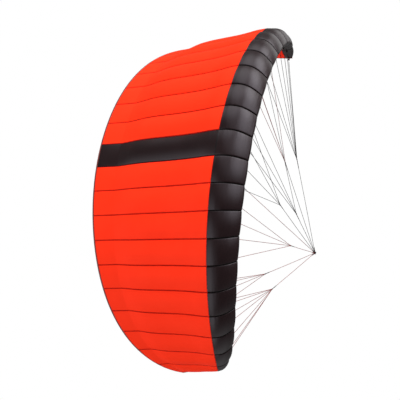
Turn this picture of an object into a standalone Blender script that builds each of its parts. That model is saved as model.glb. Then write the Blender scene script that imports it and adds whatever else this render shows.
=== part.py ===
"""A ram-air foil kite (parawing): an arched double-skin wing of cells, held by lines from one tow knot.

The frame: metres, +X forward along the root chord, +Y to the left along the span, +Z up.
The origin is the tow knot, where the rider's lines hold the kite. Every cell is a black nose
piece and a rear body piece, and each fan of bridle lines is one object joined by its own knot.
"""
import math

import bmesh
import bpy
from mathutils import Matrix, Vector

# Driving dimensions of the wing, in metres.
FLAT_SPAN = 3.50
ROOT_CHORD = 1.205
WING_HEIGHT = 1.897
NOSE_AHEAD_OF_KNOT = 0.566
CELL_COUNT = 21

# How the wing bends, narrows, sweeps back, twists and thins from the middle (0) to each tip (1).
ARCH_MIDDLE = 1.39
ARCH_TIP = 0.145
ARCH_END = 0.195
TAPER_EVEN = 0.43
TAPER_TIP = 0.34
TAPER_END = 0.04
SWEEP_EVEN = 0.475
SWEEP_TIP = 0.077
TWIST_EVEN = 0.0215
TWIST_TIP = 0.110
THINNING = 0.22
THINNING_END = 0.40
ARCH_STEPS = 420

# The rib's outline in fractions of its chord: aft of the nose, and above or below the chord line.
BAND_EDGE = 0.148
FRONT_ROW = 0.075
MIDDLE_ROW = 0.220
REAR_ROW = 0.380
NOSE_TOP = ((BAND_EDGE, 0.111), (0.100, 0.1085), (0.060, 0.093), (0.030, 0.063), (0.010, 0.026))
NOSE_BOTTOM = ((0.0, 0.0), (0.004, -0.014), (0.018, -0.031), (0.042, -0.043), (FRONT_ROW, -0.0482),
               (BAND_EDGE, -0.0503))
BODY_TOP = ((BAND_EDGE, 0.111), (0.20, 0.104), (0.28, 0.087), (0.38, 0.070), (0.50, 0.056), (0.65, 0.0425),
            (0.75, 0.0265), (0.80, 0.0135), (0.85, 0.004), (0.92, 0.001), (1.0, 0.002))
BODY_BOTTOM = ((1.0, -0.002), (0.92, -0.009), (0.80, -0.017), (0.60, -0.031), (REAR_ROW, -0.043),
               (MIDDLE_ROW, -0.049), (BAND_EDGE, -0.0503))

# Each cell swells between its two ribs, most at its middle, and not at the sewn trailing edge.
SWELL = 0.013
SWELL_STATIONS = (-1.0, -0.5, 0.0, 0.5, 1.0)
SEAM_GAP = 0.0003

# The bridle: line and knot sizes, and the webbing tabs that the lines tie to.
LINE_RADIUS = 0.0011
LINE_SIDES = 6
FAN_KNOT_RADIUS = 0.0035
TOW_KNOT_RADIUS = 0.010
TOW_KNOT_SPREAD = math.radians(68.0)
TOW_KNOT_STAGGER = 0.0022
TAB_LENGTH = 0.016
TAB_WIDTH = 0.012
TAB_THICKNESS = 0.0016
TAB_CLEARANCE = 0.0007
TIE_DEPTH = 0.0092

# Each fan: name, how far its knot is from the tow knot (0) to its tabs (1), and its tabs as (rib, row).
# Ribs are numbered from the middle of the wing in cell widths, so they end in .5.
CENTRE_FANS = (
    ("bridle_centre_front", 0.50, ((-1.5, FRONT_ROW), (-0.5, FRONT_ROW), (0.5, FRONT_ROW), (1.5, FRONT_ROW))),
    ("bridle_centre_middle", 0.70, ((-2.5, REAR_ROW), (-0.5, MIDDLE_ROW), (0.5, MIDDLE_ROW), (2.5, REAR_ROW))),
)
SIDE_FANS = (
    ("bridle_inner", 0.26, ((1.5, MIDDLE_ROW), (2.5, MIDDLE_ROW), (3.5, MIDDLE_ROW), (4.5, FRONT_ROW))),
    ("bridle_outer", 0.47, ((5.5, FRONT_ROW), (5.5, MIDDLE_ROW), (6.5, REAR_ROW), (7.5, REAR_ROW))),
    ("bridle_tip", 0.47, ((6.5, FRONT_ROW), (6.5, MIDDLE_ROW), (7.5, FRONT_ROW), (7.5, MIDDLE_ROW),
                          (8.5, FRONT_ROW), (9.5, FRONT_ROW), (10.5, FRONT_ROW))),
)
SIDES = (("left", 1), ("right", -1))

RED = (0.84, 0.045, 0.012, 1.0)
BLACK = (0.022, 0.018, 0.020, 1.0)
GREY = (0.30, 0.28, 0.28, 1.0)
DARK_GREY = (0.05, 0.035, 0.035, 1.0)


def clear_scene():
    for old in list(bpy.data.objects):
        bpy.data.objects.remove(old, do_unlink=True)


def make_collection(name):
    made = bpy.data.collections.new(name)
    bpy.context.scene.collection.children.link(made)
    return made


def make_material(name, colour, roughness):
    made = bpy.data.materials.new(name)
    made.use_nodes = True
    shader = made.node_tree.nodes["Principled BSDF"]
    shader.inputs["Base Color"].default_value = colour
    shader.inputs["Roughness"].default_value = roughness
    shader.inputs["Metallic"].default_value = 0.0
    return made


def arch_angle(share):
    """How far the rib at this share of the half span (-1 to 1) leans out from upright, in radians."""
    return ARCH_MIDDLE * share + ARCH_TIP * share**3 + ARCH_END * share**9


def arch_place(share):
    """(y, z) of the chord line at this share of the half span, walked along the arch from its middle."""
    y, z = 0.0, WING_HEIGHT
    step = share / ARCH_STEPS
    for i in range(ARCH_STEPS):
        angle = arch_angle((i + 0.5) * step)
        y += FLAT_SPAN / 2 * step * math.cos(angle)
        z -= FLAT_SPAN / 2 * step * math.sin(angle)
    return y, z


class Rib:
    """A rib's plane: it places a point of the outline, and knows which way is out and along the span."""

    def __init__(self, number):
        share = number / (CELL_COUNT / 2)
        angle = arch_angle(share)
        self.y, self.z = arch_place(share)
        self.chord = ROOT_CHORD * (1 - TAPER_EVEN * share**2 - TAPER_TIP * share**6 + TAPER_END * share**16)
        self.nose = NOSE_AHEAD_OF_KNOT - SWEEP_EVEN * share**2 - SWEEP_TIP * share**6
        self.twist = TWIST_TIP * share**6 - TWIST_EVEN * share**2
        self.fatness = 1 - THINNING * share**4 - THINNING_END * share**16
        self.up = Vector((0, math.sin(angle), math.cos(angle)))
        self.along = Vector((0, math.cos(angle), -math.sin(angle)))

    def at(self, aft, height):
        origin = Vector((self.nose - aft * self.chord, self.y, self.z))
        return origin + self.up * (height * self.fatness + aft * self.twist) * self.chord


def outline_normals(outline):
    """The outward direction at each point of an outline that runs from the top, round the nose, to the bottom."""
    found = []
    last = len(outline) - 1
    for i in range(len(outline)):
        before, after = outline[max(i - 1, 0)], outline[min(i + 1, last)]
        along = Vector((after[0] - before[0], after[1] - before[1])).normalized()
        found.append(Vector((along.y, -along.x)))
    return found


def swell_share(aft):
    """How much of the full swell the skin has at this fraction of the chord."""
    return math.sin(math.pi * min(0.5, 0.30 + 1.5 * aft)) * min(1.0, (1.0 - aft) / 0.25) ** 0.7


def cell_piece(name, number, outline, normals, shift, collection, material):
    """One piece of the cell with this number: a loft across it from rib to rib, swelling in between."""
    ribs = Rib(number - 0.5), Rib(number + 0.5)
    mesh = bmesh.new()
    rings = []
    for station in SWELL_STATIONS:
        part = (station + 1) / 2
        up = ribs[0].up.lerp(ribs[1].up, part).normalized()
        along = ribs[0].along.lerp(ribs[1].along, part).normalized()
        ring = []
        for (aft, height), normal in zip(outline, normals):
            point = ribs[0].at(aft, height).lerp(ribs[1].at(aft, height), part)
            swell = SWELL * (1 - station**2) * swell_share(aft)
            point += Vector((-normal.x, 0, 0)) * swell + up * normal.y * swell
            point += Vector((shift, 0, 0)) - along * station * SEAM_GAP / 2
            ring.append(mesh.verts.new(point))
        rings.append(ring)
    for first, second in zip(rings, rings[1:]):
        for i in range(len(outline)):
            j = (i + 1) % len(outline)
            mesh.faces.new((first[i], first[j], second[j], second[i]))
    mesh.faces.new(rings[0][::-1])
    mesh.faces.new(rings[-1])
    bmesh.ops.triangulate(mesh, faces=mesh.faces[:])
    bmesh.ops.recalc_face_normals(mesh, faces=mesh.faces[:])
    return finish_mesh(name, mesh, collection, material)


def finish_mesh(name, mesh, collection, material):
    data = bpy.data.meshes.new(name)
    mesh.to_mesh(data)
    mesh.free()
    data.shade_smooth()
    data.set_sharp_from_angle(angle=math.radians(35))
    data.materials.append(material)
    made = bpy.data.objects.new(name, data)
    collection.objects.link(made)
    return made


def side_name(number):
    if number == 0:
        return "centre"
    return f"{'left' if number > 0 else 'right'}_{abs(number):02d}"


def make_cells(collection, red, black):
    nose = NOSE_TOP + NOSE_BOTTOM
    body = BODY_BOTTOM[::-1] + BODY_TOP[::-1]
    whole = BODY_TOP[::-1] + NOSE_TOP[1:] + NOSE_BOTTOM + BODY_BOTTOM[::-1][1:]
    normal_at = dict(zip(whole, outline_normals(whole)))
    tip = CELL_COUNT // 2
    for number in range(-tip, tip + 1):
        place = side_name(number)
        cell_piece(f"nose_{place}", number, nose, [normal_at[p] for p in nose], SEAM_GAP / 2, collection, black)
        cell_piece(f"body_{place}", number, body, [normal_at[p] for p in body], -SEAM_GAP / 2, collection,
                   red if number else black)


def outline_height(aft):
    """The lower outline's height at a row of tabs, which is one of its own points."""
    return dict(NOSE_BOTTOM + BODY_BOTTOM)[aft]


def tab_frame(rib, row):
    """Where a tab hangs: the middle of its top face and its three directions, below the rib's lower edge."""
    plane = Rib(rib)
    top = plane.at(row, outline_height(row)) - plane.up * TAB_CLEARANCE
    return top, Vector((1, 0, 0)), plane.along, plane.up


def add_box(mesh, centre, directions, sizes):
    turn = Matrix([directions[0], directions[1], directions[2]]).transposed()
    place = Matrix.Translation(centre) @ turn.to_4x4() @ Matrix.Diagonal((*sizes, 1.0))
    bmesh.ops.create_cube(mesh, size=1.0, matrix=place)


def add_line(mesh, start, end):
    run = end - start
    turn = run.to_track_quat("Z", "Y").to_matrix().to_4x4()
    place = Matrix.Translation((start + end) / 2) @ turn
    bmesh.ops.create_cone(mesh, cap_ends=True, segments=LINE_SIDES, radius1=LINE_RADIUS, radius2=LINE_RADIUS,
                          depth=run.length, matrix=place)


def shape_object(name, build, collection, material):
    """An object whose mesh the function build fills."""
    mesh = bmesh.new()
    build(mesh)
    return finish_mesh(name, mesh, collection, material)


def join_shapes(base, others):
    """The base with the others joined on by a Boolean union, applied, so that they are one closed body."""
    for other in others:
        union = base.modifiers.new("join", "BOOLEAN")
        union.operation = "UNION"
        union.solver = "EXACT"
        union.object = other
        graph = bpy.context.evaluated_depsgraph_get()
        joined = bpy.data.meshes.new_from_object(base.evaluated_get(graph))
        base.modifiers.clear()
        base.data = joined
        bpy.data.objects.remove(other, do_unlink=True)


def fan_knot(reach, tabs):
    """The fan's own knot, part of the way from the tow knot to the middle of its tabs."""
    ends = [tab_frame(rib, row)[0] for rib, row in tabs]
    return sum(ends, Vector()) / len(ends) * reach


def make_fan(name, reach, tabs, start, collection, material):
    """One fan: a line up from the tow knot to a knot, and a line from there to each tab."""
    knot = fan_knot(reach, tabs)
    base = shape_object(name, lambda mesh: bmesh.ops.create_icosphere(
        mesh, subdivisions=1, radius=FAN_KNOT_RADIUS, matrix=Matrix.Translation(knot)), collection, material)
    others = [shape_object("line", lambda mesh: add_line(mesh, start, knot), collection, material)]
    for rib, row in tabs:
        top, fore, along, up = tab_frame(rib, row)
        middle = top - up * TAB_LENGTH / 2
        others.append(shape_object("tab", lambda mesh: add_box(
            mesh, middle, (fore, along, up), (TAB_WIDTH, TAB_THICKNESS, TAB_LENGTH)), collection, material))
        tie = top - up * TIE_DEPTH
        others.append(shape_object("line", lambda mesh: add_line(mesh, knot, tie), collection, material))
    join_shapes(base, others)


def tow_starts(count):
    """Points just off the tow knot, fanned evenly across it and staggered fore and aft so lines clear."""
    off = TOW_KNOT_RADIUS + SEAM_GAP
    found = []
    for i in range(count):
        angle = TOW_KNOT_SPREAD * (2 * i / (count - 1) - 1)
        fore = TOW_KNOT_STAGGER * (1 if i % 2 else -1)
        height = math.sqrt(off**2 - fore**2)
        found.append(Vector((fore, height * math.sin(angle), height * math.cos(angle))))
    return found


def make_bridle(collection, line_material, knot_material):
    fans = [(fan_knot(reach, tabs).y, name, reach, tabs) for name, reach, tabs in CENTRE_FANS]
    for name, reach, tabs in SIDE_FANS:
        for side, sign in SIDES:
            mirrored = tuple((rib * sign, row) for rib, row in tabs)
            fans.append((fan_knot(reach, mirrored).y, f"{name}_{side}", reach, mirrored))
    fans.sort()
    for start, (_, name, reach, tabs) in zip(tow_starts(len(fans)), fans):
        make_fan(name, reach, tabs, start, collection, line_material)
    shape_object("tow_knot", lambda mesh: bmesh.ops.create_icosphere(
        mesh, subdivisions=2, radius=TOW_KNOT_RADIUS), collection, knot_material)


def main():
    clear_scene()
    collection = make_collection("foil_kite")
    red = make_material("red_ripstop", RED, 0.55)
    black = make_material("black_ripstop", BLACK, 0.5)
    line = make_material("bridle_line", GREY, 0.7)
    knot = make_material("knot_sleeve", DARK_GREY, 0.8)
    make_cells(collection, red, black)
    make_bridle(collection, line, knot)


main()
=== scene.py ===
"""The looks of the ram-air foil kite: inflated cloth cells, hems, intake nets, bridle lines and tow knot.

The frame is the part's own, in metres: +X forward, +Y to the kite's left, +Z up, origin at the tow knot.
"""
import math
import random

import bpy
import numpy as np
from mathutils import Matrix, Vector

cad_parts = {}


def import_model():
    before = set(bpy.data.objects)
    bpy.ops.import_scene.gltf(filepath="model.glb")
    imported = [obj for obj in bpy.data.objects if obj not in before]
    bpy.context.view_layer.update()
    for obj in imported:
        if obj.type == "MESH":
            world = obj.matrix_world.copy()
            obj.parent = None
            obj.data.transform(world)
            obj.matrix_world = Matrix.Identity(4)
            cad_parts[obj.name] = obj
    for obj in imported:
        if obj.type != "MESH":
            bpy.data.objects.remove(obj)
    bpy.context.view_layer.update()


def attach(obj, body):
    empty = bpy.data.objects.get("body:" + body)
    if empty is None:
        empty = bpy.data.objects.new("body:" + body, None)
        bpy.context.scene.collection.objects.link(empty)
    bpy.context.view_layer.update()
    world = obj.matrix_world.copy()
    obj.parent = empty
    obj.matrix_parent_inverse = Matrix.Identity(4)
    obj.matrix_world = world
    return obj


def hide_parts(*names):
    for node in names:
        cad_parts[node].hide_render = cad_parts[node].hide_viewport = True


# Driving dimensions of the wing, the same as in the part's source.
FLAT_SPAN = 3.50
ROOT_CHORD = 1.205
WING_HEIGHT = 1.897
NOSE_AHEAD_OF_KNOT = 0.566
CELL_COUNT = 21
CELL_WIDTH = FLAT_SPAN / CELL_COUNT
TIP_CELL = CELL_COUNT // 2

# How the wing bends, narrows, sweeps back, twists and thins from the middle (0) to each tip (1).
ARCH_MIDDLE = 1.39
ARCH_TIP = 0.145
ARCH_END = 0.195
TAPER_EVEN = 0.43
TAPER_TIP = 0.34
TAPER_END = 0.04
SWEEP_EVEN = 0.475
SWEEP_TIP = 0.077
TWIST_EVEN = 0.0215
TWIST_TIP = 0.110
THINNING = 0.22
THINNING_END = 0.40
ARCH_STEPS = 420
# In flight the left tip goes this far forward with its rear bent down, and the right tip the other way.
FLIGHT_SKEW = 0.055
FLIGHT_BEND = 0.020

# The rib's outline in fractions of its chord: aft of the nose, and above or below the chord line.
BAND_EDGE = 0.148
FRONT_ROW = 0.075
MIDDLE_ROW = 0.220
REAR_ROW = 0.380
CREASE = 0.855
HEM_LINE = ((1.0, 0.0012), (CREASE, 0.0035))
REAR_TOP = ((CREASE, 0.0035), (0.80, 0.0145), (0.75, 0.0265), (0.65, 0.0425), (0.50, 0.056), (0.38, 0.070),
            (0.28, 0.087), (0.20, 0.104), (BAND_EDGE, 0.111))
NOSE_TOP = ((BAND_EDGE, 0.111), (0.100, 0.1085), (0.060, 0.093), (0.030, 0.063), (0.010, 0.026), (0.0, 0.0))
NOSE_BOTTOM = ((0.0, 0.0), (0.004, -0.014), (0.018, -0.031), (0.042, -0.043), (FRONT_ROW, -0.0482),
               (BAND_EDGE, -0.0503))
REAR_BOTTOM = ((BAND_EDGE, -0.0503), (MIDDLE_ROW, -0.049), (REAR_ROW, -0.043), (0.60, -0.031), (0.80, -0.017),
               (0.92, -0.009), (1.0, -0.0012))

# How far the cloth swells out between two ribs, in metres, at fractions of the chord on each skin.
TOP_SWELL = ((0.0, 0.0070), (0.010, 0.0090), (0.060, 0.0100), (BAND_EDGE, 0.0110), (0.25, 0.0170),
             (0.50, 0.0195), (0.72, 0.0150), (CREASE, 0.0060), (0.93, 0.0045), (1.0, 0.0))
BOTTOM_SWELL = ((0.0, 0.0070), (0.004, 0.004), (0.018, -0.003), (0.050, -0.002), (0.070, 0.004),
                (0.16, 0.012), (0.45, 0.013), (0.80, 0.008), (1.0, 0.0))

# The swollen cloth slides forward near the band's rear edge, and the black cloth laps over the red there.
BAND_SLIDE = 0.0085
BAND_SLIDE_REACH = 0.060
LAP_HEIGHT = 0.0007
LAP_WIDTH = 0.008

# Each seam pulls a groove into the cloth: its depth at fractions of the chord on top, and its width.
SEAM_DIP = ((0.0, 0.0050), (BAND_EDGE, 0.0036), (0.20, 0.0020), (CREASE, 0.0016), (1.0, 0.0003))
LOWER_DIP_SHARE = 0.6
SEAM_DIP_WIDTH = 0.0036

# Half the sewn strip along a seam, the rows of points by distance from it, and the gap between cells.
SEAM_TAPE = 0.0044
SEAM_ROWS = (0.0, 0.0012, 0.0026, 0.0044, 0.0066, 0.0100, 0.0150, 0.0220, 0.0310, 0.0420, 0.0550, 0.0690,
             CELL_WIDTH / 2)
SEAM_GAP = 0.0003
SMOOTH_ANGLE = math.radians(40.0)

# The gathers beside each seam: waves of chance length, in radians for each metre, and of chance strength.
PUCKER_WAVES = 5
PUCKER_TURNS = (110, 330)
PUCKER_STRENGTHS = (0.4, 1.0)
PUCKER_HEIGHT = 0.0010
PUCKER_START = 0.006
PUCKER_REACH = 0.024
PUCKER_FULL_SWELL = 0.010
PUCKER_LEAST = 0.15

# The trailing edge's hem, whose fold is given as (share of its width in from the edge, side of the cloth).
HEM_WIDTH = 0.010
HEM_STANDS = 0.0007
HEM_FOLD = ((1.0, 1), (0.5, 1), (0.0, 1), (-0.10, 0), (0.0, -1), (0.5, -1), (1.0, -1))
HEM_STEPS_EACH_CELL = 4

# The wing's two ends: their bindings, and the crown of the caps that close them.
BINDING_RADIUS = 0.0019
CAP_CROWN = 0.009
CAP_STEPS = (0.14, 0.34, 0.58, 0.80)
CAP_DRAWN_IN = 0.12

# The nets over the air intakes, from the middle cell to this one on each side.
LAST_OPEN_CELL = 7
NET_FROM = 0.016
NET_TO = 0.056
NET_SHARE = 0.62
NET_STANDS = 0.0006
NET_BINDING = 0.0013
NET_SPACING = (0.0105, 0.0052)
NET_PITCH = 0.0028
NET_THREAD = 0.0007

# The bridle, in metres: lines, the sleeves sewn over them, the fans' knots and the tow knot.
LINE_RADIUS = 0.0016
SLEEVE_RADIUS = 0.0025
SLEEVE_LENGTH = 0.070
END_SLEEVE_RADIUS = 0.0021
END_SLEEVE_LENGTH = 0.034
FAN_KNOT_RADIUS = 0.0052
FAN_CORD_RADIUS = 0.0013
FAN_KNOT_STEPS = 24
TOW_KNOT_RADIUS = 0.010
TOW_CORD_STANDS = 0.0015
TOW_CORD_RADIUS = 0.0034
TOW_KNOT_STEPS = 60
TOW_KNOT_TILT = (0.4, 0.3)
TOW_KNOT_SPREAD = math.radians(68.0)
TOW_KNOT_STAGGER = 0.0022
TOW_TAILS = (
    ((0.0, -0.003, -0.002), (0.001, -0.004, -0.010), (0.001, -0.003, -0.016)),
    ((0.001, 0.003, -0.002), (-0.001, 0.004, -0.011), (-0.002, 0.006, -0.017)),
)
TOW_TAIL_RADIUS = 0.0022
MAIN_LINE_START = 0.35
LINE_SIDES = 8

# A webbing loop: one half of its fold as (out from the rib's plane, height), and the line tied through it.
TAB_LENGTH = 0.016
TAB_WIDTH = 0.012
TAB_TAPE = 0.0008
TAB_CLEARANCE = 0.0007
TAB_FOLD = ((0.0006, 0.0030), (0.0006, -0.0060), (0.0022, -0.0115), (0.0020, -0.0148), (0.0, -TAB_LENGTH))
TIE_HOLE = TAB_LENGTH - 0.0028
TIE_REACH = 0.0135
TIE_BESIDE_TAPE = 0.0016
TIE_DROP = 0.0012
TIE_RADIUS = 0.0008

# The fans and the main lines that are rust-coloured braid; the others are grey.
RUST_FANS = ("outer_left", "inner_right", "outer_right", "tip_right")
RUST_MAINS = ("centre_middle", "inner_right", "outer_right", "tip_right")

# Each fan: name, how far its knot is from the tow knot (0) to its tabs (1), and its tabs as (rib, row).
CENTRE_FANS = (
    ("centre_front", 0.50, ((-1.5, FRONT_ROW), (-0.5, FRONT_ROW), (0.5, FRONT_ROW), (1.5, FRONT_ROW))),
    ("centre_middle", 0.70, ((-2.5, REAR_ROW), (-0.5, MIDDLE_ROW), (0.5, MIDDLE_ROW), (2.5, REAR_ROW))),
)
SIDE_FANS = (
    ("inner", 0.26, ((1.5, MIDDLE_ROW), (2.5, MIDDLE_ROW), (3.5, MIDDLE_ROW), (4.5, FRONT_ROW))),
    ("outer", 0.47, ((5.5, FRONT_ROW), (5.5, MIDDLE_ROW), (6.5, REAR_ROW), (7.5, REAR_ROW))),
    ("tip", 0.47, ((6.5, FRONT_ROW), (6.5, MIDDLE_ROW), (7.5, FRONT_ROW), (7.5, MIDDLE_ROW),
                   (8.5, FRONT_ROW), (9.5, FRONT_ROW), (10.5, FRONT_ROW))),
)
SIDES = (("left", 1), ("right", -1))

# The cloth's threads, stitches and painted shade at seams and edges, in metres; a shade lies from its first
# distance to its second.
RIPSTOP_PITCH = 0.0055
RIPSTOP_THREAD = 0.0006
SEAM_SHADE = (0.0006, 0.0042)
BAND_SHADE = (0.0012, 0.0060)
HEM_SHADE = (HEM_WIDTH, HEM_WIDTH + 0.006)
STITCH_FROM_SEAM = 0.0034
STITCH_FROM_BAND = 0.0040
STITCH_WIDTH = 0.0007
STITCH_LENGTH = 0.0034
STITCH_SHARE = 0.7

# How strongly threads, stitches and the painted shade by the hem colour the cloth, and how high they stand in
# its bump.
GRID_TINT = 0.14
GRID_HEIGHT = 0.35
GRAIN_HEIGHT = 0.5
STITCH_TINT = 0.8
STITCH_HEIGHT = 0.9
HEM_SHADE_TINT = 0.7

# The ribs of narrow tapes, in metres, and how much paler they are.
TAPE_RIB = 0.0005
TAPE_RIB_PITCH = 0.0011
TAPE_CROSS_PITCH = 0.0016
TAPE_RIB_TINT = 0.4

# The colours of cloth, its painted shade at seams, edges and intake holes, threads, tapes and lines.
RED_CLOTH = (0.95, 0.0320, 0.0088, 1.0)
# Painted shade: the darker colours that the cloth takes beside seams, band edges and the hem.
RED_PAINTED_SHADE = (0.46, 0.006, 0.002, 1.0)
RED_THREAD = (0.50, 0.010, 0.005, 1.0)
# Painted shade: the red seam strip's colour is darker for the shade in the seams' grooves.
RED_SEAM_PAINTED_SHADE = (0.52, 0.0075, 0.0020, 1.0)
RED_SEAM_THREAD = (0.40, 0.008, 0.004, 1.0)
BLACK_CLOTH = (0.0090, 0.0034, 0.0035, 1.0)
BLACK_PAINTED_SHADE = (0.003, 0.0022, 0.0022, 1.0)
BLACK_THREAD = (0.022, 0.020, 0.020, 1.0)
# Painted shade: the black seam strip's colour is darker for the shade in the seams' grooves.
BLACK_SEAM_PAINTED_SHADE = (0.0040, 0.0026, 0.0026, 1.0)
BLACK_SEAM_THREAD = (0.010, 0.009, 0.009, 1.0)
WHITE_SHINE = (1.0, 1.0, 1.0, 1.0)
COOL_SHINE = (0.92, 0.89, 1.0, 1.0)
HEM_COLOUR = (0.10, 0.018, 0.014, 1.0)
WEBBING_COLOUR = (0.012, 0.010, 0.010, 1.0)
NET_COLOUR = (0.012, 0.011, 0.011, 1.0)
# Painted shade: the net's holes are near-black for the shaded inside of the cell.
NET_HOLE_PAINTED_SHADE = (0.002, 0.002, 0.002, 1.0)
GREY_LINE = (0.016, 0.015, 0.015, 1.0)
GREY_FLECK = (0.034, 0.032, 0.032, 1.0)
RUST_LINE = (0.170, 0.018, 0.014, 1.0)
RUST_FLECK = (0.220, 0.040, 0.034, 1.0)
SLEEVE_COLOUR = (0.012, 0.006, 0.006, 1.0)
SLEEVE_FLECK = (0.028, 0.015, 0.015, 1.0)
LINE_BRAID_PITCH = 0.0019
SLEEVE_BRAID_PITCH = 0.0024

# The camera of the photograph: its distance from the middle of the leading edge, and its axes.
PHOTO_SIDE = 400
CAMERA_DISTANCE = 20.7
CAMERA_RIGHT = Vector((0.8511, 0.1671, -0.4977))
CAMERA_UP = Vector((0.0402, 0.9245, 0.3790))
CAMERA_BACK = Vector((0.5235, -0.3426, 0.7802))
FOCAL_PIXELS = 3153.0
NOSE_PIXEL = (249.85, 148.72)
SENSOR = 36.0
CAMERA_SEES_TO = 500.0

# The studio: how bright its air is, and soft lights as (direction, spread in degrees, brightness).
AMBIENT = 0.22
BACKDROP = 1.0
SOFT_LIGHTS = (
    ((0.51, 0.86, -0.06), 28.0, 6.9),
    ((0.91, 0.40, 0.11), 39.0, 4.7),
    ((0.55, 0.46, 0.70), 58.0, 1.4),
    ((-0.10, 0.87, 0.48), 38.0, 3.2),
    ((-0.70, -0.62, 0.36), 50.0, 2.4),
    ((0.01, 0.70, -0.71), 25.0, 1.2),
    ((-0.06, -0.74, -0.67), 40.0, 0.5),
)
FLOOR_HEIGHT = -14.0
FLOOR_SIDE = 600.0


def arch_angle(share):
    return ARCH_MIDDLE * share + ARCH_TIP * share**3 + ARCH_END * share**9


def arch_tables():
    """(share, y, z) along half of the arch, walked outwards from its middle."""
    shares = np.linspace(0.0, 1.0, ARCH_STEPS + 1)
    angles = arch_angle((shares[1:] + shares[:-1]) / 2)
    step = FLAT_SPAN / 2 / ARCH_STEPS
    y = np.concatenate(([0.0], np.cumsum(np.cos(angles)))) * step
    z = WING_HEIGHT - np.concatenate(([0.0], np.cumsum(np.sin(angles)))) * step
    return shares, y, z


ARCH = arch_tables()


class Rib:
    """A rib's plane: it places a point of the outline, and knows which way is out and along the span."""

    def __init__(self, number):
        share = number / (CELL_COUNT / 2)
        far = abs(share)
        angle = arch_angle(share)
        self.y = math.copysign(np.interp(far, ARCH[0], ARCH[1]), share)
        self.z = float(np.interp(far, ARCH[0], ARCH[2]))
        self.chord = ROOT_CHORD * (1 - TAPER_EVEN * share**2 - TAPER_TIP * share**6 + TAPER_END * share**16)
        self.nose = (NOSE_AHEAD_OF_KNOT - SWEEP_EVEN * share**2 - SWEEP_TIP * share**6
                     + FLIGHT_SKEW * share * far**5)
        self.twist = TWIST_TIP * share**6 - TWIST_EVEN * share**2
        self.tail = -FLIGHT_BEND * share
        self.fatness = 1 - THINNING * share**4 - THINNING_END * share**16
        self.ahead = Vector((1, 0, 0))
        self.up = Vector((0, math.sin(angle), math.cos(angle)))
        self.along = Vector((0, math.cos(angle), -math.sin(angle)))

    def lift(self, aft, height):
        return (height * self.fatness + self.twist * aft + self.tail * aft**3) * self.chord

    def at(self, aft, height):
        origin = Vector((self.nose - aft * self.chord, self.y, self.z))
        return origin + self.up * self.lift(aft, height)


def smooth_line(points, steps):
    """Points along a smooth cubic curve through the given ones, evenly spread along it."""
    given = np.array(points, float)
    runs = np.linalg.norm(np.diff(given, axis=0), axis=1)
    slopes = np.diff(given, axis=0) / runs[:, None]
    turns = np.empty_like(given)
    turns[0], turns[-1] = slopes[0], slopes[-1]
    weight = runs[1:, None] / (runs[:-1, None] + runs[1:, None])
    turns[1:-1] = slopes[:-1] * weight + slopes[1:] * (1 - weight)
    if len(given) > 2:
        turns[0] = 1.5 * slopes[0] - 0.5 * turns[1]
        turns[-1] = 1.5 * slopes[-1] - 0.5 * turns[-2]
    walked = np.concatenate(([0.0], np.cumsum(runs)))
    made = []
    for at in np.linspace(0.0, walked[-1], steps + 1):
        i = min(int(np.searchsorted(walked, at, side="right")) - 1, len(runs) - 1)
        t = (at - walked[i]) / runs[i]
        made.append((2 * t**3 - 3 * t**2 + 1) * given[i] + (t**3 - 2 * t**2 + t) * runs[i] * turns[i]
                    + (3 * t**2 - 2 * t**3) * given[i + 1] + (t**3 - t**2) * runs[i] * turns[i + 1])
    return np.array(made)


class Outline:
    """The whole outline, from the trailing edge over the top, round the nose and back below.

    Each stretch has its name, its points, how many steps it is walked in, and its side of the rib.
    """

    stretches = (("hem", HEM_LINE, 14, 1), ("rear_top", REAR_TOP, 84, 1), ("nose_top", NOSE_TOP, 36, 1),
                 ("nose_bottom", NOSE_BOTTOM, 26, -1), ("rear_bottom", REAR_BOTTOM, 76, -1))

    def __init__(self):
        points, sides, self.start = [], [], {}
        for name, given, steps, side in self.stretches:
            self.start[name] = len(points) - 1 if points else 0
            made = smooth_line(given, steps)
            made = made if not points else made[1:]
            points.extend(made)
            sides.extend([side] * len(made))
        self.points = np.array(points)
        self.last = len(points) - 1
        self.sides = np.array(sides)
        runs = np.linalg.norm(np.diff(self.points, axis=0), axis=1)
        self.walked = np.concatenate(([0.0], np.cumsum(runs)))
        self.along = np.gradient(self.points, axis=0)
        self.along /= np.linalg.norm(self.along, axis=1)[:, None]
        self.normals = np.stack((self.along[:, 1], -self.along[:, 0]), axis=1)
        self.band = self.start["nose_top"]
        self.under = self.start["rear_bottom"]
        off_band = (self.walked - self.walked[self.band]) * ROOT_CHORD
        self.slide = BAND_SLIDE * np.exp(-(off_band / BAND_SLIDE_REACH) ** 2)
        top = np.interp(self.points[:, 0], *zip(*TOP_SWELL))
        bottom = np.interp(self.points[:, 0], *zip(*BOTTOM_SWELL))
        self.swell = np.where(self.sides > 0, top, bottom)
        self.dip = np.interp(self.points[:, 0], *zip(*SEAM_DIP))
        self.dip = self.dip * np.where(self.sides > 0, 1.0, LOWER_DIP_SHARE)
        off_edge = np.minimum(abs(off_band), abs(self.walked - self.walked[self.under]) * ROOT_CHORD)
        self.lap = LAP_HEIGHT * np.clip(1.0 - off_edge / LAP_WIDTH, 0.0, 1.0) ** 0.5

    def skins(self, aft):
        """(upper, lower) height of the outline at a fraction of the chord."""
        top = self.sides > 0
        upper = np.interp(aft, self.points[top, 0][::-1], self.points[top, 1][::-1])
        lower = np.interp(aft, self.points[~top, 0], self.points[~top, 1])
        return upper, lower


OUTLINE = Outline()


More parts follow.
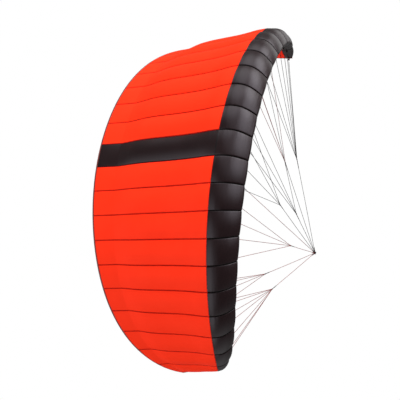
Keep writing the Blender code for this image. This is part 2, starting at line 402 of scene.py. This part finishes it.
def puckers(seam_name, walked):
    """The small gathers along one seam, the same each run: a few waves of chance length, summed."""
    draw = random.Random(seam_name)
    waves = [(draw.uniform(*PUCKER_TURNS), draw.uniform(0, math.tau), draw.uniform(*PUCKER_STRENGTHS))
             for _ in range(PUCKER_WAVES)]
    total = sum(strength * np.sin(number * walked + phase) for number, phase, strength in waves)
    return total / sum(strength for _, _, strength in waves)


def column_offsets():
    """(station from -1 to 1, distance to the nearer seam) for each row of points across a cell."""
    half = CELL_WIDTH / 2
    left = [(d / half - 1.0, d) for d in SEAM_ROWS]
    return left + [(-station, d) for station, d in left[-2::-1]]


def skin_points(rib, out, slide, inset):
    """The outline's points in a rib's plane, moved out and forward over the skin, and in from the plane."""
    aft, height = OUTLINE.points[:, 0], OUTLINE.points[:, 1]
    fore = rib.nose - aft * rib.chord - OUTLINE.normals[:, 0] * out - OUTLINE.along[:, 0] * slide
    lift = rib.lift(aft, height) + OUTLINE.normals[:, 1] * out + OUTLINE.along[:, 1] * slide
    base = np.array((0.0, rib.y, rib.z)) + np.array(rib.along) * inset
    return base + np.outer(fore, (1.0, 0.0, 0.0)) + np.outer(lift, rib.up)


def cell_surface(number, proud=0.0):
    """The cell's skin, that much proud, as an array of [column across, row along the outline, xyz]."""
    walked = OUTLINE.walked * Rib(number).chord
    gathers = [puckers(f"seam {number - 0.5}", walked), puckers(f"seam {number + 0.5}", walked)]
    fade = np.clip(OUTLINE.swell / PUCKER_FULL_SWELL, PUCKER_LEAST, 1.0)
    columns = []
    for station, off in column_offsets():
        out = OUTLINE.swell * (1 - station**2) - OUTLINE.dip * math.exp(-(off / SEAM_DIP_WIDTH) ** 2)
        near = math.exp(-off / PUCKER_REACH) * min(1.0, off / PUCKER_START)
        out = out + PUCKER_HEIGHT * near * fade * gathers[0 if station < 0 else 1] + proud
        slide = OUTLINE.slide * (1 - station**2)
        columns.append(skin_points(Rib(number + station / 2), out, slide, -station * SEAM_GAP / 2))
    return np.array(columns), walked


def mesh_object(name, points, faces, uvs, materials, edges=None, tones=None):
    """A mesh with UVs, perhaps a second layer for the way to its edges, and a material for each face."""
    mesh = bpy.data.meshes.new(name)
    mesh.from_pydata([tuple(p) for p in points], [], faces)
    layer = mesh.uv_layers.new(name="metres")
    layer.data.foreach_set("uv", np.array(uvs, np.float32).ravel())
    if edges:
        layer = mesh.uv_layers.new(name="edges")
        layer.data.foreach_set("uv", np.array(edges, np.float32).ravel())
    mesh.shade_smooth()
    mesh.set_sharp_from_angle(angle=SMOOTH_ANGLE)
    for material in materials:
        mesh.materials.append(material)
    if tones:
        mesh.polygons.foreach_set("material_index", tones)
    made = bpy.data.objects.new(name, mesh)
    bpy.context.scene.collection.objects.link(made)
    return made


def place_piece(piece, slot, *nodes):
    """The piece rides with the kite and stands for the nodes, which are hidden. The slot is not used."""
    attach(piece, "root")
    if nodes:
        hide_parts(*nodes)
    return piece


def end_cap(rows, rib, outward):
    """Rings that close a cell piece at the wing's tip with a low crown, from its edge to its middle line."""
    aft, height = OUTLINE.points[rows, 0], OUTLINE.points[rows, 1]
    upper, lower = OUTLINE.skins(aft)
    middle = (upper + lower) / 2
    centre = aft.mean()
    rings = []
    for step in CAP_STEPS:
        at = centre + (aft - centre) * (1 - CAP_DRAWN_IN * step)
        high = middle + (height - middle) * (1 - step)
        crown = CAP_CROWN * (1 - (1 - step) ** 2) * outward
        rings.append(np.array([rib.at(a, h) + rib.along * crown for a, h in zip(at, high)]))
    return rings


def cell_columns(number, rows, surface):
    """Columns of points across a cell, how far across each is, and which are sewn; end cells get a cap."""
    columns = list(surface[:, rows])
    across = [(station + 1) / 2 * CELL_WIDTH for station, _ in column_offsets()]
    sewn = [off <= SEAM_TAPE for _, off in column_offsets()]
    cap_across = [CELL_WIDTH / 2] * len(CAP_STEPS)
    cap_sewn = [False] * len(CAP_STEPS)
    if number == TIP_CELL:
        caps = end_cap(rows, Rib(number + 0.5), 1)
        return columns + caps, across + cap_across, sewn + cap_sewn
    if number == -TIP_CELL:
        caps = end_cap(rows, Rib(number - 0.5), -1)[::-1]
        return caps + columns, cap_across + across, cap_sewn + sewn
    return columns, across, sewn


def cell_piece(name, number, rows, surface, walked, materials):
    """One closed piece of a cell: its skin over those rows of the outline, in cloth and in sewn cloth."""
    columns, across, sewn = cell_columns(number, rows, surface)
    count, around = len(columns), len(rows)
    length = walked[rows]
    off_band = np.minimum(np.abs(length - walked[OUTLINE.band]), np.abs(length - walked[OUTLINE.under]))
    off_hem = np.minimum(length, walked[-1] - length)
    faces, uvs, edges, tones = [], [], [], []

    def add_face(corners, tone):
        faces.append(tuple(i * around + j for i, j in corners))
        uvs.extend((across[i], length[j]) for i, j in corners)
        edges.extend((off_band[j], off_hem[j]) for i, j in corners)
        tones.append(tone)

    for i in range(count - 1):
        for j in range(around):
            k = (j + 1) % around
            add_face([(i, j), (i, k), (i + 1, k), (i + 1, j)], int(sewn[i] and sewn[i + 1]))
    add_face([(0, j) for j in reversed(range(around))], 0)
    add_face([(count - 1, j) for j in range(around)], 0)
    return mesh_object(name, np.concatenate(columns), faces, uvs, materials, edges, tones)


def side_name(number):
    if number == 0:
        return "centre"
    return f"{'left' if number > 0 else 'right'}_{abs(number):02d}"


def make_cells(cloths):
    """Each cell's nose piece and rear piece, and the net under its nose."""
    nose_rows = list(range(OUTLINE.band, OUTLINE.under + 1))
    body_rows = list(range(OUTLINE.under, OUTLINE.last + 1)) + list(range(0, OUTLINE.band + 1))
    for number in range(-TIP_CELL, TIP_CELL + 1):
        place = side_name(number)
        surface, walked = cell_surface(number)
        lapped, _ = cell_surface(number, OUTLINE.lap)
        black = (cloths["black"], cloths["black_seam"])
        nose = cell_piece(f"cloth_nose_{place}", number, nose_rows, lapped, walked, black)
        place_piece(nose, "black_cloth", f"nose_{place}")
        colour = "red" if number else "black"
        coloured = (cloths[colour], cloths[f"{colour}_seam"])
        body = cell_piece(f"cloth_body_{place}", number, body_rows, surface, walked, coloured)
        place_piece(body, f"{colour}_cloth", f"body_{place}")
        if abs(number) <= LAST_OPEN_CELL:
            make_net(place, number, cloths)


class Shape:
    """Closed tubes and straps gathered into one mesh, with UVs in metres round them and along them."""

    def __init__(self):
        self.points, self.faces, self.uvs = [], [], []

    def loft(self, rings, looped=False):
        """Joins rings of points, all of the same count, in order; a looped one closes on its first ring."""
        start, sides, count = len(self.points), len(rings[0]), len(rings)
        self.points.extend(Vector(point) for ring in rings for point in ring)
        side_length = (Vector(rings[0][1]) - Vector(rings[0][0])).length
        middles = [sum((Vector(p) for p in ring), Vector()) / sides for ring in rings]
        walked = 0.0
        for i in range(count if looped else count - 1):
            k = (i + 1) % count
            step = (middles[k] - middles[i]).length
            for j in range(sides):
                m = (j + 1) % sides
                self.faces.append((start + i * sides + j, start + i * sides + m, start + k * sides + m,
                                   start + k * sides + j))
                self.uvs += [(j * side_length, walked), ((j + 1) * side_length, walked),
                             ((j + 1) * side_length, walked + step), (j * side_length, walked + step)]
            walked += step
        if not looped:
            for ring, order in ((0, -1), (count - 1, 1)):
                corners = [start + ring * sides + j for j in range(sides)][::order]
                self.faces.append(tuple(corners))
                self.uvs += [(0.0, 0.0)] * sides

    def tube(self, path, radii, looped=False):
        """A round tube along the path, with a radius for each of its points, or one for all."""
        path = [Vector(p) for p in path]
        radii = radii if isinstance(radii, tuple) else [radii] * len(path)
        count = len(path)
        across = (path[1] - path[0]).orthogonal()
        rings = []
        for i, radius in enumerate(radii):
            before = path[i - 1] if looped or i else path[0]
            after = path[(i + 1) % count] if looped or i < count - 1 else path[i]
            ahead = (after - before).normalized()
            across = (across - ahead * across.dot(ahead)).normalized()
            other = ahead.cross(across)
            turns = [math.tau * j / LINE_SIDES for j in range(LINE_SIDES)]
            rings.append([path[i] + (across * math.cos(t) + other * math.sin(t)) * radius for t in turns])
        self.loft(rings, looped)

    def sleeve(self, start, end, radius, thin):
        """A thicker stretch of line whose ends taper down to the line."""
        shares = (0.0, 0.06, 0.14, 0.5, 0.86, 0.94, 1.0)
        shoulder = 0.6 * radius + 0.4 * thin
        fat = (thin, shoulder, radius, radius, radius, shoulder, thin)
        self.tube([start.lerp(end, share) for share in shares], fat)

    def knot(self, centre, size, cord, turn, steps):
        """A round knot of cord, drawn up tight, its cord passing over and under itself three times."""
        reach = (size - cord) / 3
        path = []
        for i in range(steps):
            t = math.tau * i / steps
            local = Vector((math.sin(t) + 2 * math.sin(2 * t), math.cos(t) - 2 * math.cos(2 * t),
                            -1.7 * math.sin(3 * t)))
            path.append(centre + turn @ (local * reach))
        self.tube(path, cord, looped=True)

    def piece(self, name, material, slot, *nodes):
        made = mesh_object(name, self.points, self.faces, self.uvs, [material])
        return place_piece(made, slot, *nodes)


def net_edge(last_column, last_row):
    """The places round the edge of a grid of points, in order, as (column, row)."""
    edge = [(i, 0) for i in range(last_column)]
    edge += [(last_column, j) for j in range(last_row)]
    edge += [(i, last_row) for i in range(last_column, 0, -1)]
    return edge + [(0, j) for j in range(last_row, 0, -1)]


def make_net(place, number, cloths):
    """The net over a cell's air intake, under its nose, with a bound edge round it."""
    aft, below = OUTLINE.points[:, 0], OUTLINE.sides < 0
    nose_rows = range(OUTLINE.band, OUTLINE.under + 1)
    rows = [j for j in nose_rows if below[j] and NET_FROM <= aft[j] <= NET_TO]
    columns = [i for i, (station, _) in enumerate(column_offsets()) if abs(station) <= NET_SHARE]
    outer = cell_surface(number, NET_STANDS)[0][np.ix_(columns, rows)]
    inner = cell_surface(number, -NET_STANDS)[0][np.ix_(columns, rows)]
    edge = net_edge(len(columns) - 1, len(rows) - 1)
    points = np.concatenate([outer.reshape(-1, 3), inner.reshape(-1, 3)])
    across, count = len(rows), len(columns) * len(rows)
    flat = np.concatenate([np.indices((len(columns), len(rows))).reshape(2, -1).T] * 2) * NET_SPACING
    faces = []
    for i in range(len(columns) - 1):
        for j in range(len(rows) - 1):
            face = (i * across + j, i * across + j + 1, (i + 1) * across + j + 1, (i + 1) * across + j)
            faces.append(face)
            faces.append(tuple(count + k for k in reversed(face)))
    for (i, j), (k, m) in zip(edge, edge[1:] + edge[:1]):
        faces.append((i * across + j, k * across + m, count + k * across + m, count + i * across + j))
    uvs = [tuple(flat[corner]) for face in faces for corner in face]
    net = mesh_object(f"intake_net_{place}", points, faces, uvs, [cloths["net"]])
    place_piece(net, "black_cloth")
    binding = Shape()
    binding.tube([outer[i, j] for i, j in edge], NET_BINDING, looped=True)
    binding.piece(f"intake_binding_{place}", cloths["tape"], "black_cloth")


def hem_ring(rib):
    """The hem's cross-section at a rib: it folds round the trailing edge."""
    over = HEM_STANDS / rib.chord
    ring = []
    for inset, side in HEM_FOLD:
        aft = 1.0 - inset * HEM_WIDTH / rib.chord
        upper, lower = OUTLINE.skins(min(aft, 1.0))
        height = {1: upper + over, 0: 0.0, -1: lower - over}[side]
        ring.append(rib.at(aft, height))
    return ring


def make_hems(cloths):
    """The hem along the trailing edge, and a binding round the edge of each tip's end."""
    hem = Shape()
    steps = HEM_STEPS_EACH_CELL * CELL_COUNT
    hem.loft([hem_ring(Rib(CELL_COUNT * (i / steps - 0.5))) for i in range(steps + 1)])
    hem.piece("hem_trailing_edge", cloths["hem"], "red_cloth")
    for side, sign in SIDES:
        rib = Rib(sign * CELL_COUNT / 2)
        path = [rib.at(aft, height) for aft, height in OUTLINE.points[::2]]
        binding = Shape()
        binding.tube(path, BINDING_RADIUS, looped=True)
        binding.piece(f"binding_tip_{side}", cloths["hem"], "red_cloth")


def tab_frame(number, row):
    """Where a webbing loop hangs below a rib: the middle of its top, and its three directions."""
    rib = Rib(number)
    top = rib.at(row, dict(NOSE_BOTTOM + REAR_BOTTOM)[row]) - rib.up * TAB_CLEARANCE
    return top, rib.ahead, rib.along, rib.up


def fan_knot(reach, tabs):
    """The fan's own knot, part of the way from the tow knot to the middle of its tabs."""
    ends = [tab_frame(number, row)[0] for number, row in tabs]
    return sum(ends, Vector()) / len(ends) * reach


def webbing_loop(shape, top, fore, along, up):
    """A strap folded into a loop, its two ends sewn into the rib's edge, open at the bottom for the line."""
    path = list(TAB_FOLD) + [(-out, height) for out, height in TAB_FOLD[-2::-1]]
    rings = []
    for i, (out, height) in enumerate(path):
        before, after = path[max(i - 1, 0)], path[min(i + 1, len(path) - 1)]
        run = (along * (after[0] - before[0]) + up * (after[1] - before[1])).normalized()
        across = fore.cross(run) * TAB_TAPE / 2
        middle = top + along * out + up * height
        wide = fore * TAB_WIDTH / 2
        rings.append([middle - wide - across, middle + wide - across,
                      middle + wide + across, middle - wide + across])
    shape.loft(rings)


def tie_line(lines, knot, top, fore, up):
    """The line's end: two legs from its own knot pass through the webbing loop. Gives the knot's place."""
    hole = top - up * TIE_HOLE
    away = (knot - hole).normalized()
    tie = hole + away * TIE_REACH
    front, rear = [hole + fore * (TAB_WIDTH / 2 + TIE_BESIDE_TAPE) * side for side in (1, -1)]
    drop = up * TIE_DROP
    lines.tube([tie, front - drop, front, hole, rear, rear - drop], TIE_RADIUS, looped=True)
    return tie, away


def line_braid(name, rust_names, cloths):
    return cloths["rust_line" if name in rust_names else "grey_line"]


def make_fan(name, reach, tabs, start, cloths):
    """One fan: a line from the tow knot to the fan's knot, and one on to each webbing loop."""
    knot = fan_knot(reach, tabs)
    pull = (knot - start).normalized()
    turn = pull.to_track_quat("Z", "Y").to_matrix()
    main_line, lines, sleeves, loops = Shape(), Shape(), Shape(), Shape()
    main_line.tube([start * MAIN_LINE_START, start.lerp(knot, 0.5), knot], LINE_RADIUS)
    sleeves.sleeve(knot - pull * SLEEVE_LENGTH, knot, SLEEVE_RADIUS, LINE_RADIUS)
    sleeves.sleeve(start, start + pull * SLEEVE_LENGTH * 0.5, SLEEVE_RADIUS, LINE_RADIUS)
    sleeves.knot(knot, FAN_KNOT_RADIUS, FAN_CORD_RADIUS, turn, FAN_KNOT_STEPS)
    for number, row in tabs:
        top, fore, along, up = tab_frame(number, row)
        webbing_loop(loops, top, fore, along, up)
        tie, away = tie_line(lines, knot, top, fore, up)
        lines.tube([knot, knot.lerp(tie, 0.5), tie], LINE_RADIUS)
        sleeves.sleeve(tie, tie + away * END_SLEEVE_LENGTH, END_SLEEVE_RADIUS, LINE_RADIUS)
    main_line.piece(f"main_line_{name}", line_braid(name, RUST_MAINS, cloths), "line")
    lines.piece(f"lines_{name}", line_braid(name, RUST_FANS, cloths), "line", f"bridle_{name}")
    sleeves.piece(f"sleeves_{name}", cloths["sleeve"], "sleeve")
    loops.piece(f"webbing_{name}", cloths["tape"], "black_cloth")


def tow_starts(count):
    """Points just off the tow knot, fanned evenly across it and staggered fore and aft so lines clear."""
    off = TOW_KNOT_RADIUS + SEAM_GAP
    found = []
    for i in range(count):
        angle = TOW_KNOT_SPREAD * (2 * i / (count - 1) - 1)
        fore = TOW_KNOT_STAGGER * (1 if i % 2 else -1)
        height = math.sqrt(off**2 - fore**2)
        found.append(Vector((fore, height * math.sin(angle), height * math.cos(angle))))
    return found


def make_bridle(cloths):
    """The fans, in order across the wing, and the tow knot with the two tails of its cord."""
    fans = [(fan_knot(reach, tabs).y, name, reach, tabs) for name, reach, tabs in CENTRE_FANS]
    for name, reach, tabs in SIDE_FANS:
        for side, sign in SIDES:
            mirrored = tuple((number * sign, row) for number, row in tabs)
            fans.append((fan_knot(reach, mirrored).y, f"{name}_{side}", reach, mirrored))
    fans.sort()
    for start, (_, name, reach, tabs) in zip(tow_starts(len(fans)), fans):
        make_fan(name, reach, tabs, start, cloths)
    knot = Shape()
    turn = Matrix.Rotation(TOW_KNOT_TILT[0], 3, "X") @ Matrix.Rotation(TOW_KNOT_TILT[1], 3, "Y")
    knot.knot(Vector(), TOW_KNOT_RADIUS + TOW_CORD_STANDS, TOW_CORD_RADIUS, turn, TOW_KNOT_STEPS)
    for tail in TOW_TAILS:
        knot.tube(tail, TOW_TAIL_RADIUS)
    knot.piece("tow_cord_knot", cloths["sleeve"], "sleeve", "tow_knot")


class Nodes:
    """Short calls that build a material's nodes."""

    def __init__(self, name, roughness, specular):
        self.material = bpy.data.materials.new(name)
        self.material.use_nodes = True
        self.tree = self.material.node_tree
        self.shader = self.tree.nodes["Principled BSDF"]
        self.shader.inputs["Roughness"].default_value = roughness
        self.shader.inputs["Specular IOR Level"].default_value = specular

    def link(self, value, socket):
        if isinstance(value, (int, float, tuple)):
            socket.default_value = value
        else:
            self.tree.links.new(value, socket)

    def math(self, operation, *values):
        node = self.tree.nodes.new("ShaderNodeMath")
        node.operation = operation
        for value, socket in zip(values, node.inputs):
            self.link(value, socket)
        return node.outputs[0]

    def uv(self, layer="metres"):
        node = self.tree.nodes.new("ShaderNodeUVMap")
        node.uv_map = layer
        split = self.tree.nodes.new("ShaderNodeSeparateXYZ")
        self.tree.links.new(node.outputs[0], split.inputs[0])
        return split.outputs[0], split.outputs[1]

    def noise(self, scale, detail=3.0):
        place = self.tree.nodes.new("ShaderNodeTexCoord")
        node = self.tree.nodes.new("ShaderNodeTexNoise")
        node.inputs["Scale"].default_value = scale
        node.inputs["Detail"].default_value = detail
        self.tree.links.new(place.outputs["Object"], node.inputs["Vector"])
        return node.outputs["Fac"]

    def ramp(self, value, low, high, out_low, out_high):
        node = self.tree.nodes.new("ShaderNodeMapRange")
        node.interpolation_type = "SMOOTHSTEP"
        for value_in, socket in zip((value, low, high, out_low, out_high), node.inputs):
            self.link(value_in, socket)
        return node.outputs[0]

    def mix(self, share, first, second):
        node = self.tree.nodes.new("ShaderNodeMix")
        node.data_type = "RGBA"
        colours = [socket for socket in node.inputs if socket.type == "RGBA"]
        self.link(share, node.inputs[0])
        self.link(first, colours[0])
        self.link(second, colours[1])
        return [socket for socket in node.outputs if socket.type == "RGBA"][0]

    def finish(self, colour, height, strength, distance):
        """The colour and a bump of that height go to the shader."""
        self.link(colour, self.shader.inputs["Base Color"])
        node = self.tree.nodes.new("ShaderNodeBump")
        node.inputs["Strength"].default_value = strength
        node.inputs["Distance"].default_value = distance
        self.tree.links.new(height, node.inputs["Height"])
        self.tree.links.new(node.outputs[0], self.shader.inputs["Normal"])
        return self.material

    def grid_line(self, along, pitch, width):
        """1 on the lines of a grid that repeats every pitch, falling to 0 outside their width."""
        turn = self.math("FRACT", self.math("DIVIDE", along, pitch))
        off = self.math("MULTIPLY", self.math("ABSOLUTE", self.math("SUBTRACT", turn, 0.5)), pitch)
        return self.ramp(off, 0.0, width, 1.0, 0.0)

    def near(self, value, place, width):
        """1 where the value is at the place, falling to 0 that width away from it."""
        return self.ramp(self.math("ABSOLUTE", self.math("SUBTRACT", value, place)), 0.0, width, 1.0, 0.0)

    def stitches(self, off, place, along):
        """1 on a row of stitches that runs that way, at a place measured off a seam or an edge."""
        turn = self.math("FRACT", self.math("DIVIDE", along, STITCH_LENGTH))
        dashes = self.ramp(turn, STITCH_SHARE, STITCH_SHARE + 0.1, 1.0, 0.0)
        return self.math("MULTIPLY", self.near(off, place, STITCH_WIDTH), dashes)

    def off_seam(self, across):
        """How far a place in the cell is from the nearer of its two seams."""
        return self.math("MINIMUM", across, self.math("SUBTRACT", CELL_WIDTH, across))


def tinted(colour, scale, lift=0.0):
    """The colour made paler or darker."""
    return tuple(min(1.0, c * scale + lift) for c in colour[:3]) + (1.0,)


def ripstop(name, colour, painted_shade_colour, thread_colour, roughness, specular, shine, mottle):
    """Coated ripstop cloth: a grid of thicker threads, painted shade beside seams, band edges and the hem,
    and stitches.
    """
    nodes = Nodes(name, roughness, specular)
    nodes.shader.inputs["Specular Tint"].default_value = shine
    across, along = nodes.uv()
    off_band, off_hem = nodes.uv("edges")
    off_seam = nodes.off_seam(across)
    grid = nodes.math("MAXIMUM", nodes.grid_line(across, RIPSTOP_PITCH, RIPSTOP_THREAD),
                      nodes.grid_line(along, RIPSTOP_PITCH, RIPSTOP_THREAD))
    # Painted shade: the cloth darkens towards each seam's groove, the band's lapped edges and the hem.
    seam = nodes.ramp(off_seam, *SEAM_SHADE, 1.0, 0.0)
    band = nodes.ramp(off_band, *BAND_SHADE, 1.0, 0.0)
    hem = nodes.ramp(off_hem, *HEM_SHADE, HEM_SHADE_TINT, 0.0)
    painted_shade = nodes.math("MAXIMUM", nodes.math("MAXIMUM", seam, band), hem)
    stitch = nodes.math("MAXIMUM", nodes.stitches(off_seam, STITCH_FROM_SEAM, along),
                        nodes.stitches(off_band, STITCH_FROM_BAND, across))
    cloud = nodes.ramp(nodes.noise(scale=5.0), 0.35, 0.68, 0.0, mottle)
    pale = tinted(colour, scale=1.22, lift=0.002)
    base = nodes.mix(cloud, colour, pale)
    base = nodes.mix(nodes.math("MULTIPLY", grid, GRID_TINT), base, pale)
    base = nodes.mix(painted_shade, base, painted_shade_colour)
    base = nodes.mix(nodes.math("MULTIPLY", stitch, STITCH_TINT), base, thread_colour)
    grain = nodes.math("MULTIPLY", nodes.noise(scale=420.0, detail=2.0), GRAIN_HEIGHT)
    height = nodes.math("ADD", nodes.math("MULTIPLY", grid, GRID_HEIGHT), grain)
    height = nodes.math("ADD", height, nodes.math("MULTIPLY", stitch, STITCH_HEIGHT))
    return nodes.finish(base, height, strength=0.3, distance=0.0005)


def sewn_seam(name, colour, thread_colour):
    """The folded cloth of a seam between two cells: matt, in a darker colour that is painted shade of the
    seam's groove, with a row of stitches on each side.
    """
    nodes = Nodes(name, roughness=0.8, specular=0.06)
    across, along = nodes.uv()
    stitch = nodes.stitches(nodes.off_seam(across), STITCH_FROM_SEAM, along)
    patches = nodes.ramp(nodes.noise(scale=60.0), 0.35, 0.65, 0.0, 0.6)
    base = nodes.mix(patches, colour, tinted(colour, scale=0.6))
    base = nodes.mix(nodes.math("MULTIPLY", stitch, STITCH_TINT), base, thread_colour)
    return nodes.finish(base, stitch, strength=0.4, distance=0.0004)


def braid(name, colour, fleck_colour, pitch, roughness=0.65):
    """Braided cord: threads that cross on the slant, painted shade in the dips between them, and flecks of a
    second tone.
    """
    nodes = Nodes(name, roughness, specular=0.3)
    around, along = nodes.uv()
    right = nodes.math("DIVIDE", nodes.math("ADD", around, along), pitch)
    left = nodes.math("DIVIDE", nodes.math("SUBTRACT", around, along), pitch)
    right_wave = nodes.math("SINE", nodes.math("MULTIPLY", right, math.tau))
    left_wave = nodes.math("SINE", nodes.math("MULTIPLY", left, math.tau))
    weave = nodes.math("MULTIPLY", right_wave, left_wave)
    fleck = nodes.ramp(nodes.noise(scale=260.0, detail=2.0), 0.45, 0.62, 0.0, 0.7)
    # Painted shade: the braid is darker where its threads dip between crossings.
    shade = nodes.ramp(weave, -0.8, 0.6, 0.55, 0.0)
    base = nodes.mix(shade, nodes.mix(fleck, colour, fleck_colour), tinted(colour, scale=0.45))
    return nodes.finish(base, weave, strength=0.5, distance=0.0003)


def woven_tape(name, colour):
    """Narrow webbing or hem tape: fine ribs both ways, and paler patches where it is worn."""
    nodes = Nodes(name, roughness=0.6, specular=0.3)
    around, along = nodes.uv()
    ribs = nodes.grid_line(along, TAPE_RIB_PITCH, TAPE_RIB)
    cross = nodes.grid_line(around, TAPE_CROSS_PITCH, TAPE_RIB)
    weave = nodes.math("MAXIMUM", ribs, cross)
    pale = tinted(colour, scale=1.9, lift=0.004)
    wear = nodes.ramp(nodes.noise(scale=30.0), 0.40, 0.66, 0.0, 0.5)
    base = nodes.mix(wear, colour, pale)
    base = nodes.mix(nodes.math("MULTIPLY", weave, TAPE_RIB_TINT), base, pale)
    return nodes.finish(base, weave, strength=0.5, distance=0.0003)


def netting(name, thread_colour, hole_painted_shade):
    """Open net: threads both ways over near-black holes, the painted shade of the cell's inside."""
    nodes = Nodes(name, roughness=0.7, specular=0.2)
    across, along = nodes.uv()
    threads = nodes.math("MAXIMUM", nodes.grid_line(across, NET_PITCH, NET_THREAD),
                         nodes.grid_line(along, NET_PITCH, NET_THREAD))
    tone = nodes.ramp(nodes.noise(scale=40.0), 0.3, 0.7, 0.7, 1.0)
    base = nodes.mix(nodes.math("MULTIPLY", threads, tone), hole_painted_shade, thread_colour)
    return nodes.finish(base, threads, strength=0.9, distance=0.0008)


def make_materials():
    """Every material by a short name. The red cloth is dull, and the black cloth has a soft cool shine."""
    return {
        "red": ripstop("red_ripstop", RED_CLOTH, RED_PAINTED_SHADE, RED_THREAD, roughness=0.50, specular=0.015,
                       shine=WHITE_SHINE, mottle=0.25),
        "red_seam": sewn_seam("red_seam", RED_SEAM_PAINTED_SHADE, RED_SEAM_THREAD),
        "black_seam": sewn_seam("black_seam", BLACK_SEAM_PAINTED_SHADE, BLACK_SEAM_THREAD),
        "black": ripstop("black_ripstop", BLACK_CLOTH, BLACK_PAINTED_SHADE, BLACK_THREAD, roughness=0.33,
                         specular=0.23, shine=COOL_SHINE, mottle=0.5),
        "hem": woven_tape("hem_tape", HEM_COLOUR),
        "tape": woven_tape("black_webbing", WEBBING_COLOUR),
        "net": netting("intake_net", NET_COLOUR, NET_HOLE_PAINTED_SHADE),
        "grey_line": braid("grey_braid", GREY_LINE, GREY_FLECK, LINE_BRAID_PITCH),
        "rust_line": braid("rust_braid", RUST_LINE, RUST_FLECK, LINE_BRAID_PITCH),
        "sleeve": braid("sleeve_braid", SLEEVE_COLOUR, SLEEVE_FLECK, SLEEVE_BRAID_PITCH, roughness=0.7),
    }


def make_camera():
    """The photograph's camera, turned so that the middle of the leading edge falls on its pixel."""
    aim = (-CAMERA_BACK + CAMERA_RIGHT * ((PHOTO_SIDE / 2 - NOSE_PIXEL[0]) / FOCAL_PIXELS)
           - CAMERA_UP * ((PHOTO_SIDE / 2 - NOSE_PIXEL[1]) / FOCAL_PIXELS)).normalized()
    right = aim.cross(CAMERA_UP).normalized()
    up = right.cross(aim)
    turn = Matrix((right, up, -aim)).transposed().to_4x4()
    nose = Vector((NOSE_AHEAD_OF_KNOT, 0, WING_HEIGHT))
    data = bpy.data.cameras.new("camera")
    data.sensor_width = SENSOR
    data.lens = SENSOR * FOCAL_PIXELS / PHOTO_SIDE
    data.clip_end = CAMERA_SEES_TO
    camera = bpy.data.objects.new("camera", data)
    camera.matrix_world = Matrix.Translation(nose + CAMERA_BACK * CAMERA_DISTANCE) @ turn
    bpy.context.scene.collection.objects.link(camera)
    bpy.context.scene.camera = camera


def soft_light(tree, way, direction, spread, strength):
    """The brightness that one soft round light adds to the sky's colour in each direction."""
    aim = tree.nodes.new("ShaderNodeVectorMath")
    aim.operation = "DOT_PRODUCT"
    tree.links.new(way, aim.inputs[0])
    aim.inputs[1].default_value = Vector(direction).normalized()
    fall = tree.nodes.new("ShaderNodeMapRange")
    fall.interpolation_type = "SMOOTHSTEP"
    fall.inputs["From Min"].default_value = math.cos(math.radians(spread))
    fall.inputs["To Max"].default_value = strength
    tree.links.new(aim.outputs["Value"], fall.inputs["Value"])
    return fall.outputs[0]


def add_values(tree, first, second):
    node = tree.nodes.new("ShaderNodeMath")
    tree.links.new(first, node.inputs[0])
    if isinstance(second, float):
        node.inputs[1].default_value = second
    else:
        tree.links.new(second, node.inputs[1])
    return node.outputs[0]


def seen_strength(tree, unseen, seen):
    """A strength that is one value where the camera sees it and another for the light that it gives."""
    path = tree.nodes.new("ShaderNodeLightPath")
    node = tree.nodes.new("ShaderNodeMix")
    tree.links.new(path.outputs["Is Camera Ray"], node.inputs["Factor"])
    tree.links.new(unseen, node.inputs["A"])
    node.inputs["B"].default_value = seen
    return node.outputs["Result"]


def make_stage():
    """A white studio whose soft lights are in the sky's brightness, over a pale floor far below."""
    scene = bpy.context.scene
    scene.view_settings.view_transform = "Standard"
    world = bpy.data.worlds.new("studio")
    scene.world = world
    world.use_nodes = True
    tree = world.node_tree
    way = tree.nodes.new("ShaderNodeTexCoord").outputs["Generated"]
    total = soft_light(tree, way, *SOFT_LIGHTS[0])
    for light in SOFT_LIGHTS[1:]:
        total = add_values(tree, total, soft_light(tree, way, *light))
    back = tree.nodes["Background"]
    back.inputs["Color"].default_value = (1.0, 1.0, 1.0, 1.0)
    tree.links.new(seen_strength(tree, add_values(tree, total, AMBIENT), BACKDROP), back.inputs["Strength"])
    make_floor()


def make_floor():
    """A pale floor that looks the same all over and throws no light back."""
    side = FLOOR_SIDE / 2
    corners = [(-side, -side, 0), (side, -side, 0), (side, side, 0), (-side, side, 0)]
    mesh = bpy.data.meshes.new("floor")
    mesh.from_pydata(corners, [], [(0, 1, 2, 3)])
    floor = bpy.data.objects.new("floor", mesh)
    floor.location.z = FLOOR_HEIGHT
    material = bpy.data.materials.new("pale_floor")
    material.use_nodes = True
    tree = material.node_tree
    shader = tree.nodes["Principled BSDF"]
    shader.inputs["Base Color"].default_value = (0.0, 0.0, 0.0, 1.0)
    shader.inputs["Specular IOR Level"].default_value = 0.0
    shader.inputs["Emission Color"].default_value = (1.0, 1.0, 1.0, 1.0)
    shader.inputs["Emission Strength"].default_value = BACKDROP
    mesh.materials.append(material)
    floor.visible_diffuse = False
    floor.visible_glossy = False
    bpy.context.scene.collection.objects.link(floor)


def main():
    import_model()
    make_camera()
    make_stage()
    cloths = make_materials()
    make_cells(cloths)
    make_hems(cloths)
    make_bridle(cloths)


main()
